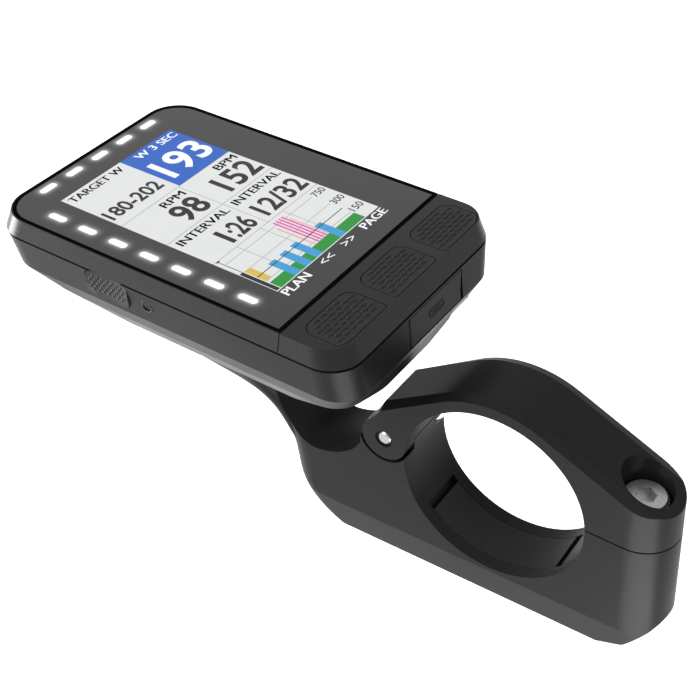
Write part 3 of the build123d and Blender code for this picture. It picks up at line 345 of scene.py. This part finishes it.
# %% Light pipes and circuit boards
def lit(name, colour, light, roughness=0.09):
    """Something that shines by itself behind a smooth surface. A slow noise makes it slightly uneven."""
    material = grained(name, [0.004] * 3, [0.006] * 3, roughness, 3.0, 0.0, specular=0.3)
    tree = material.node_tree
    shader = tree.nodes["Principled BSDF"]
    shader.inputs["Emission Color"].default_value = (*colour, 1)
    noise = tree.nodes["Noise Texture"].outputs["Fac"]
    uneven = calculate(tree, "MULTIPLY_ADD", noise, 0.06 * light, 0.97 * light)
    tree.links.new(uneven, shader.inputs["Emission Strength"])
    return material


finish["light_pipe"] = lit("light_pipe", (1.0, 1.0, 1.0), 1.05, 0.2)
finish["display"] = lit("display", (0.80, 0.82, 0.82), 0.8)

board = grained("circuit_board", [0.008, 0.07, 0.03], [0.012, 0.10, 0.04], 0.3, 0.3, 0.0)
tree = board.node_tree
shader = tree.nodes["Principled BSDF"]
place = tree.nodes["Texture Coordinate"].outputs["Object"]
TRACE_STEP = 1.6 * MM
traces = add_node(tree, "ShaderNodeTexVoronoi", Vector=place, Scale=1 / TRACE_STEP,
                  feature="DISTANCE_TO_EDGE")
copper = add_node(tree, "ShaderNodeValToRGB", Fac=traces.outputs["Distance"])
copper.color_ramp.elements[0].position = 0.04
copper.color_ramp.elements[0].color = (0.03, 0.20, 0.07, 1)
copper.color_ramp.elements[1].position = 0.07
copper.color_ramp.elements[1].color = (0.01, 0.09, 0.035, 1)
tree.links.new(copper.outputs["Color"], shader.inputs["Base Color"])
finish["circuit_board"] = board
print("finishes", len(finish))

# %% [markdown]
# Each hard part takes the finish that the record names for it. The mesh itself is left alone: only its
# material slot is filled.

# %% Every hard part gets its finish
slots = {row["node"]: row["material_slot"] for row in frame["record"]["subparts"]}
for node_name, node in nodes.items():
    node.data.materials.clear()
    node.data.materials.append(finish[slots[node_name]])
print("finished nodes", len(slots))

# %% [markdown]
# ## The screen
# The picture on the screen is flat colour under the glass. Each colour is one thin plate, made by adding a
# cube, flattening it and joining the plates that share a colour. The plates stand a few hundredths of a
# millimetre above the glass, each layer a little higher than the one it covers, so nothing flickers.

# %% Helpers for thin plates
SHEET = 0.01 * MM
glass_top = glass_high.z


def join(objects, name):
    """Joins objects into one with its place in its mesh."""
    bpy.ops.object.select_all(action="DESELECT")
    for o in objects:
        o.select_set(True)
    bpy.context.view_layer.objects.active = objects[0]
    if len(objects) > 1:
        bpy.ops.object.join()
    bpy.ops.object.transform_apply(location=True, rotation=True, scale=True)
    objects[0].name = name
    return objects[0]


def plate(left, right, low, high, layer):
    """A thin upright-edged plate on the glass, from its edges in millimetres and its layer."""
    z = glass_top + (layer + 0.5) * SHEET
    centre = ((left + right) / 2 * MM, (low + high) / 2 * MM, z)
    bpy.ops.object.select_all(action="DESELECT")
    bpy.ops.mesh.primitive_cube_add(size=1, location=centre)
    bpy.context.object.scale = ((right - left) * MM, (high - low) * MM, SHEET)
    return bpy.context.object


def piece(obj, name, body, material):
    """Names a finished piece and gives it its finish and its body."""
    obj.name = name
    obj.data.materials.clear()
    obj.data.materials.append(material)
    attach(obj, body)
    return obj


# %% Layout of the picture, in millimetres from the handlebar's centre
LEFT, RIGHT = -14.1, 13.25
TOP, BOTTOM = 77.6, 34.0
MIDDLE_X = -0.2
ROW_1, ROW_2, ROW_3 = 64.55, 55.3, 46.1
CHART_LEFT, CHART_RIGHT = -13.0, 9.6
CHART_BOTTOM = 34.15

colours = {
    "screen_white": ((0.80, 0.815, 0.815), 0.92),
    "screen_blue": ((0.0, 0.12, 0.60), 0.85),
    "screen_ink": ((0.0, 0.0, 0.0), 0.0),
    "screen_line": ((0.42, 0.43, 0.44), 0.85),
    "screen_green": ((0.0, 0.30, 0.02), 0.9),
    "screen_cyan": ((0.03, 0.33, 0.68), 0.95),
    "screen_yellow": ((0.72, 0.50, 0.08), 0.95),
    "screen_pink": ((0.78, 0.10, 0.42), 0.95),
    "screen_rose": ((0.82, 0.52, 0.52), 0.9),
    "screen_letters": ((0.92, 0.94, 0.96), 1.0)}
shades = {name: lit(name, colour, light) for name, (colour, light) in colours.items()}
print("screen colours", len(shades))


# %% Background, blue field and the grid's fine lines
def plates(name, layer, shade, *edges):
    """Plates of one colour, joined into one piece of the screen."""
    made = join([plate(*edge, layer) for edge in edges], name)
    return piece(made, name, "computer", shades[shade])


LINE = 0.12

plates("screen_background", 1, "screen_white", (LEFT, RIGHT, BOTTOM, TOP))
plates("blue_field", 2, "screen_blue", (0.15, RIGHT, ROW_1, TOP))
ruled = [(LEFT, RIGHT, y - LINE / 2, y + LINE / 2) for y in (ROW_1, ROW_2, ROW_3)]
ruled.append((MIDDLE_X - LINE / 2, MIDDLE_X + LINE / 2, ROW_3, ROW_1))
ruled += [(CHART_LEFT, CHART_RIGHT, y - LINE / 2, y + LINE / 2) for y in (44.5, 41.0, 36.9)]
ruled += [(x - LINE / 2, x + LINE / 2, CHART_BOTTOM, ROW_3) for x in (-8.4, -2.3, 3.6)]
plates("grid_lines", 2, "screen_line", *ruled)
print("grid lines", len(ruled))

# %% The chart's bars
plates("green_bars", 3, "screen_green", (CHART_LEFT, CHART_RIGHT, CHART_BOTTOM, 36.3))
blocks = [(x, x + 1.6, CHART_BOTTOM, 39.3) for x in (-9.4, -6.55, -3.75, 2.75)]
plates("cyan_bars", 4, "screen_cyan", *blocks)
plates("yellow_bar", 4, "screen_yellow", (-13.0, -11.6, 37.0, 41.1))
stripes = [(x, x + 0.36, 36.3, 45.2) for x in (-0.25, 0.45, 1.15, 1.85)]
plates("pink_stripes", 4, "screen_pink", *stripes)
plates("rose_stripes", 4, "screen_rose", (-1.2, -0.75, 36.3, 43.8), (2.35, 2.65, 36.3, 43.8))
plates("chart_marks", 5, "screen_ink", (-13.35, -13.22, CHART_BOTTOM, ROW_3), (-14.0, -13.3, 34.2, 41.2),
       (-13.6, -12.95, 45.75, 46.0), (CHART_LEFT, CHART_RIGHT, 38.5, 38.66))
print("chart pieces made")

# %% [markdown]
# ## Numbers and words on the screen
# A ride computer shows plain numbers under plain words for what they measure. Blender's text object gives
# the letters. A number is made bolder with Offset, turned into a mesh, and then scaled so that it fills its
# place exactly, because the real one uses a narrow face that is as wide as its field allows. The captions
# are drawn three times, a hair apart.


# %% Words that fill a place
def words(text, left, right, low, tall, bold=0.0):
    """Text as a flat mesh from left to right, standing on low, tall high. All are in millimetres."""
    bpy.ops.object.select_all(action="DESELECT")
    bpy.ops.object.text_add(location=(0, 0, 0))
    label = bpy.context.object
    label.data.body = text
    label.data.offset = bold
    label.data.resolution_u = 6
    bpy.ops.object.convert(target="MESH")
    label = bpy.context.object
    xs = [v.co.x for v in label.data.vertices]
    ys = [v.co.y for v in label.data.vertices]
    wide = (right - left) * MM / (max(xs) - min(xs))
    high = tall * MM / (max(ys) - min(ys))
    label.scale = (wide, high, 1)
    label.location = (left * MM - min(xs) * wide, low * MM - min(ys) * high, glass_top + 7 * SHEET)
    return label


LABEL = 1.65
STROKE = 0.07
BOLDER = 0.024


def labels(texts):
    """Captions as (text, left, right, low), thickened by copies, because Offset spoils a sharp M."""
    return [words(text, left + shift, right + shift, low, LABEL)
            for text, left, right, low in texts for shift in (-STROKE, 0, STROKE)]


dark = labels([("TARGET W", -13.4, -1.1, 75.25), ("RPM", -6.3, -1.1, 62.0), ("BPM", 7.5, 12.6, 62.0),
               ("INTERVAL", -13.0, -1.1, 52.9), ("INTERVAL", 0.8, 12.6, 52.9)])
dark += [
    words("180-202", -13.6, -1.1, 66.5, 3.1, BOLDER), words("98", -7.4, -1.1, 56.2, 5.2, BOLDER),
    words("152", 3.5, 12.6, 56.2, 5.2, BOLDER), words("1", -7.9, -6.95, 47.0, 4.3),
    words(":26", -6.1, -1.1, 47.0, 4.3, BOLDER), words("12/32", 1.2, 12.6, 46.95, 4.3, BOLDER)]
dark += [words(t, 9.9, 12.7, y, 1.45, 0.01) for t, y in (("750", 43.8), ("300", 40.0), ("150", 36.3))]
piece(join(dark, "dark_readings"), "dark_readings", "computer", shades["screen_ink"])
pale_words = labels([("W 3 SEC", 2.75, 12.7, 75.25), ("PLAN", -14.0, -8.0, 32.0), ("PAGE", 6.8, 13.1, 32.0)])
pale_words += [words("193", 1.5, 12.6, 66.5, 6.5, BOLDER),
               words("<<", -4.7, -1.7, 32.1, 1.2), words(">>", 1.1, 4.1, 32.1, 1.2)]
piece(join(pale_words, "pale_readings"), "pale_readings", "computer", shades["screen_letters"])
print("words", len(dark) + len(pale_words))

# %% [markdown]
# ## Grip dashes on the keys
# The three keys are felt for in the dark and through gloves, so their tops carry short raised dashes in
# staggered slanting rows. One dash is a cube with its edges bevelled, small enough that its few faces
# don't matter. It is copied over the key's top wherever it fits inside the edge.


# %% One dash, copied over a key
DASH = Vector((1.25, 0.42, 0.3)) * MM
DASH_STEP = Vector((1.7, 0.86)) * MM
DASH_EDGE = 0.72 * MM
DASH_ASPECT = 1.6
DASH_BEVEL = 0.09 * MM
DASH_PROUD = 0.02 * MM
DASH_SLANT = math.radians(-14)
FLAT_DEPTH = 0.2 * MM


def bevelled_bar(size, bevel):
    """A small bar of a size at the origin, with its edges bevelled."""
    bpy.ops.object.select_all(action="DESELECT")
    bpy.ops.mesh.primitive_cube_add(size=1)
    bar = bpy.context.object
    bar.scale = size
    bpy.ops.object.transform_apply(scale=True)
    bpy.ops.object.mode_set(mode="EDIT")
    bpy.ops.mesh.select_all(action="SELECT")
    bpy.ops.mesh.bevel(offset=bevel, segments=1, affect="EDGES")
    bpy.ops.object.mode_set(mode="OBJECT")
    return bar


def copy_to(model, place, turn=None):
    """A copy of a small model, with its own mesh, at a place."""
    made = model.copy()
    made.data = model.data.copy()
    bpy.context.scene.collection.objects.link(made)
    made.location = place
    if turn is not None:
        made.rotation_euler = turn
    return made


def grip_dashes(node_name):
    """Slanting dashes over a key's top, wherever all four corners of their place meet the flat."""
    low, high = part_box(node_name)
    cad = nodes[node_name]
    model = bevelled_bar(DASH, DASH_BEVEL)
    made = []
    rows = int((high.y - low.y) / DASH_STEP.y)
    columns = int((high.x - low.x) / DASH_STEP.x) + 2
    for row in range(rows):
        y = low.y + (row + 0.5) * (high.y - low.y) / rows
        for column in range(columns):
            x = low.x + (column - 0.5 + 0.5 * (row % 2)) * DASH_STEP.x
            ends = [(x + sx * DASH_EDGE, y + sy * DASH_EDGE / DASH_ASPECT)
                    for sx in (-1, 1) for sy in (-1, 1)]
            hits = [cad.ray_cast(Vector((px, py, high.z + MM)), Vector((0, 0, -1))) for px, py in ends]
            if all(hit[0] and high.z - hit[1].z < FLAT_DEPTH for hit in hits):
                made.append(copy_to(model, (x, y, high.z + DASH_PROUD), (0, 0, DASH_SLANT)))
    bpy.data.objects.remove(model)
    return join(made, node_name + "_dashes")


def body_of(node_name):
    """The name of the body that a hard part rides on."""
    return next(b for b, o in frame["bodies"].items() if nodes[node_name].parent == o)


for key in ("key_left", "key_centre", "key_right"):
    dashes = piece(grip_dashes(key), key + "_dashes", body_of(key), finish["key_rubber"])
    print(dashes.name, len(dashes.data.polygons), "faces")

# %% [markdown]
# ## Knurled thumb button and the small icons
# The power button is a scoop in the left wall, cut with a diamond knurl. A four-sided cone, turned so that
# its edges point along and across the button, makes one diamond. Rays cast at the scoop find where each
# one sits. The icons beside the buttons and on the port cover are shallow raised shapes.

# %% One diamond, copied over each side button
DIAMOND_ACROSS = 0.9 * MM
DIAMOND_TALL = 0.22 * MM
DIAMOND_STEP = Vector((0.98, 0.62)) * MM
END_MARGIN = 0.9 * MM
TOP_MARGIN = 0.6 * MM
OUTSIDE = 50 * MM


def knurl(node_name, side):
    """Diamonds over the outer face of a side button. side is -1 on the left and 1 on the right."""
    low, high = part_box(node_name)
    cad = nodes[node_name]
    bpy.ops.object.select_all(action="DESELECT")
    bpy.ops.mesh.primitive_cone_add(vertices=4, radius1=DIAMOND_ACROSS / 2, depth=DIAMOND_TALL)
    model = bpy.context.object
    made = []
    middle = (low + high) / 2
    for row in range(-3, 4):
        for column in range(-6, 7):
            y = middle.y + (column + 0.5 * (row % 2)) * DIAMOND_STEP.x
            z = middle.z + row * DIAMOND_STEP.y
            hit, point, normal, _ = cad.ray_cast(Vector((side * OUTSIDE, y, z)), Vector((-side, 0, 0)))
            near_edge = abs(y - middle.y) > (high.y - low.y) / 2 - END_MARGIN
            too_high = abs(z - middle.z) > (high.z - low.z) / 2 - TOP_MARGIN
            if not hit or near_edge or too_high or abs(normal.x) < 0.9:
                continue
            turn = normal.to_track_quat("Z", "Y").to_euler()
            made.append(copy_to(model, point + normal * DIAMOND_TALL * 0.35, turn))
    bpy.data.objects.remove(model)
    return join(made, node_name + "_knurl")


for button, side in (("power_button", -1), ("up_button", 1), ("down_button", 1)):
    made = piece(knurl(button, side), button + "_knurl", body_of(button), finish["key_rubber"])
    print(made.name, len(made.data.polygons), "faces")

# %% [markdown]
# The glass is seated in a soft black border that hides the glue line. It is drawn as a plane of the glass's
# size, its corners rounded, then inset: the inner face is deleted and the ring that is left is raised.

# %% Soft border round the glass
BORDER_WIDTH = 0.62 * MM
BORDER_HEIGHT = 0.05 * MM
FRONT_ROUND = 5.9 * MM
BORDER_GAP = 0.12 * MM

bpy.ops.object.select_all(action="DESELECT")
bpy.ops.mesh.primitive_plane_add(size=1, location=(0, (glass_low.y + glass_high.y) / 2, glass_top))
border = bpy.context.object
border.scale = (glass_high.x - glass_low.x + 2 * BORDER_GAP, glass_high.y - glass_low.y + 2 * BORDER_GAP, 1)
bpy.ops.object.transform_apply(location=True, scale=True)
bpy.ops.object.mode_set(mode="EDIT")
mesh = bmesh.from_edit_mesh(border.data)
for vertex in mesh.verts:
    vertex.select_set(vertex.co.y > glass_low.y + MM)
mesh.select_flush(False)
bmesh.update_edit_mesh(border.data)
bpy.ops.mesh.bevel(offset=FRONT_ROUND, segments=14, affect="VERTICES")
bpy.ops.mesh.select_all(action="SELECT")
bpy.ops.mesh.inset(thickness=BORDER_WIDTH)
bpy.ops.mesh.delete(type="FACE")
bpy.ops.mesh.select_all(action="SELECT")
bpy.ops.mesh.extrude_region_move(TRANSFORM_OT_translate={"value": (0, 0, BORDER_HEIGHT)})
bpy.ops.mesh.select_all(action="SELECT")
bpy.ops.mesh.normals_make_consistent(inside=False)
bpy.ops.object.mode_set(mode="OBJECT")
finish["soft_border"] = grained("soft_border", [0.001] * 3, [0.002] * 3, 0.9, 0.3, 0.004, specular=0.0)
piece(border, "glass_border", "computer", finish["soft_border"])
print("border", len(border.data.polygons), "faces")

# %% Power icon on the left wall
ICON_RADIUS = 0.95 * MM
ICON_LINE = 0.13 * MM
ICON_GAP = math.radians(70)
ICON_DISTANCE = 3.3 * MM
RING_STEPS = 24


def wall_point(y, z, side):
    """Where the side wall's skin is at a height, found by a ray from outside."""
    return nodes["mid_housing"].ray_cast(Vector((side * OUTSIDE, y, z)), Vector((-side, 0, 0)))[1]


def raised_stroke(points, name):
    """A rounded raised line through points, as a mesh."""
    curve = bpy.data.curves.new(name, "CURVE")
    curve.dimensions = "3D"
    curve.bevel_depth = ICON_LINE
    curve.bevel_resolution = 3
    spline = curve.splines.new("POLY")
    spline.points.add(len(points) - 1)
    for target, point in zip(spline.points, points):
        target.co = (*point, 1)
    line = bpy.data.objects.new(name, curve)
    bpy.context.scene.collection.objects.link(line)
    bpy.ops.object.select_all(action="DESELECT")
    line.select_set(True)
    bpy.context.view_layer.objects.active = line
    bpy.ops.object.convert(target="MESH")
    return bpy.context.object


power_low, power_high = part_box("power_button")
icon_y = power_low.y - ICON_DISTANCE
icon_z = (power_low.z + power_high.z) / 2
skin = wall_point(icon_y, icon_z, -1)
ring = []
for step in range(RING_STEPS + 1):
    angle = math.pi / 2 + ICON_GAP / 2 + step * (2 * math.pi - ICON_GAP) / RING_STEPS
    ring.append((skin.x, icon_y + ICON_RADIUS * math.cos(angle), icon_z + ICON_RADIUS * math.sin(angle)))
bar = [(skin.x, icon_y, icon_z + 0.25 * ICON_RADIUS), (skin.x, icon_y, icon_z + 1.2 * ICON_RADIUS)]
strokes = [raised_stroke(ring, "icon_ring"), raised_stroke(bar, "icon_bar")]
piece(join(strokes, "power_icon"), "power_icon", "computer", finish["satin_case"])
print("power icon at", [round(v / MM, 1) for v in skin])

# %% [markdown]
# The port cover carries a small raised outline of the socket behind it. Its points are dropped on to the
# cover's leaning face by rays, so the line follows the face. The bolt's head has fine upright ridges round
# it, so that it can be started with the fingers: one bevelled bar, copied round in a loop.

# %% Socket outline on the port cover
flap_low, flap_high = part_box("usb_cover")
PORT_HALF = 1.5 * MM
PORT_ROUND = 0.62 * MM
END_STEPS = 12


def on_flap(x, z):
    """Where the port cover's leaning face is, found by a ray from behind it."""
    return tuple(nodes["usb_cover"].ray_cast(Vector((x, flap_low.y - 5 * MM, z)), Vector((0, 1, 0)))[1])


port_x = (flap_low.x + flap_high.x) / 2
port_z = (flap_low.z + flap_high.z) / 2
outline = []
for end in (-1, 1):
    for step in range(END_STEPS + 1):
        angle = math.pi / 2 + (0 if end < 0 else math.pi) + math.pi * step / END_STEPS
        outline.append(on_flap(port_x + end * PORT_HALF + PORT_ROUND * math.cos(angle),
                               port_z + PORT_ROUND * math.sin(angle)))
outline.append(outline[0])
tongue = [on_flap(port_x - PORT_HALF * 0.8, port_z), on_flap(port_x + PORT_HALF * 0.8, port_z)]
strokes = [raised_stroke(outline, "port_outline"), raised_stroke(tongue, "port_tongue")]
piece(join(strokes, "port_icon"), "port_icon", body_of("usb_cover"), finish["flap_rubber"])
print("port outline", len(outline), "points")

# %% Ridges round the bolt's head
RIDGES = 28
RIDGE = Vector((0.22, 0.34, 1.9)) * MM

bolt_low, bolt_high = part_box("clamp_bolt")
bolt_middle = (bolt_low + bolt_high) / 2
head_radius = (bolt_high.x - bolt_low.x) / 2
model = bevelled_bar(RIDGE, 0.07 * MM)
made = []
for step in range(RIDGES):
    angle = 2 * math.pi * step / RIDGES
    place = Vector((head_radius * math.cos(angle), bolt_middle.y + head_radius * math.sin(angle),
                    bolt_high.z - RIDGE.z * 0.7))
    made.append(copy_to(model, place, (0, 0, angle)))
bpy.data.objects.remove(model)
piece(join(made, "bolt_ridges"), "bolt_ridges", body_of("clamp_bolt"), finish["bolt_steel"])
print("ridges", RIDGES)

# %% [markdown]
# ## Small parts on the board
# Inside, the board carries dozens of tiny parts: dark chips on legs and pale capacitors with bright ends.
# They are never seen while the case is shut, but they are there when it is opened. Each kind is one
# bevelled bar, copied in short rows where the board is free.

# %% Chips and capacitors
board_low, board_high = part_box("main_board")
board_top = board_high.z


def board_row(name, size, rows, slot_name, lift=0.0):
    """Copies of one small part along rows. A row is its first x, its y, its step and its count, in mm."""
    model = bevelled_bar(Vector(size) * MM, min(size) * 0.12 * MM)
    made = []
    for x, y, step, count in rows:
        for i in range(count):
            place = Vector(((x + i * step) * MM, y * MM, board_top + (size[2] / 2 + lift) * MM))
            made.append(copy_to(model, place))
    bpy.data.objects.remove(model)
    return piece(join(made, name), name, "computer", finish[slot_name])


CAPACITOR_ROWS = [(-14, 60.5, 1.8, 8), (4, 60.5, 1.8, 6), (-14, 33.0, 1.8, 7), (-14, 78.0, 2.2, 13)]
CHIP_ROWS = [(-13.0, 64.0, 4.0, 2), (9.5, 64.0, 4.0, 2), (8.0, 51.0, 4.2, 2)]
board_row("board_chips", (2.6, 2.6, 0.7), CHIP_ROWS, "chip_black")
board_row("capacitors", (0.55, 0.8, 0.5), CAPACITOR_ROWS, "ceramic")
ends = [(x - 0.36, y, step, count) for x, y, step, count in CAPACITOR_ROWS]
ends += [(x + 0.36, y, step, count) for x, y, step, count in CAPACITOR_ROWS]
board_row("capacitor_ends", (0.2, 0.82, 0.52), ends, "switch_metal")
print("small parts on the board")

# %% Standard view transform
bpy.context.scene.view_settings.view_transform = "Standard"
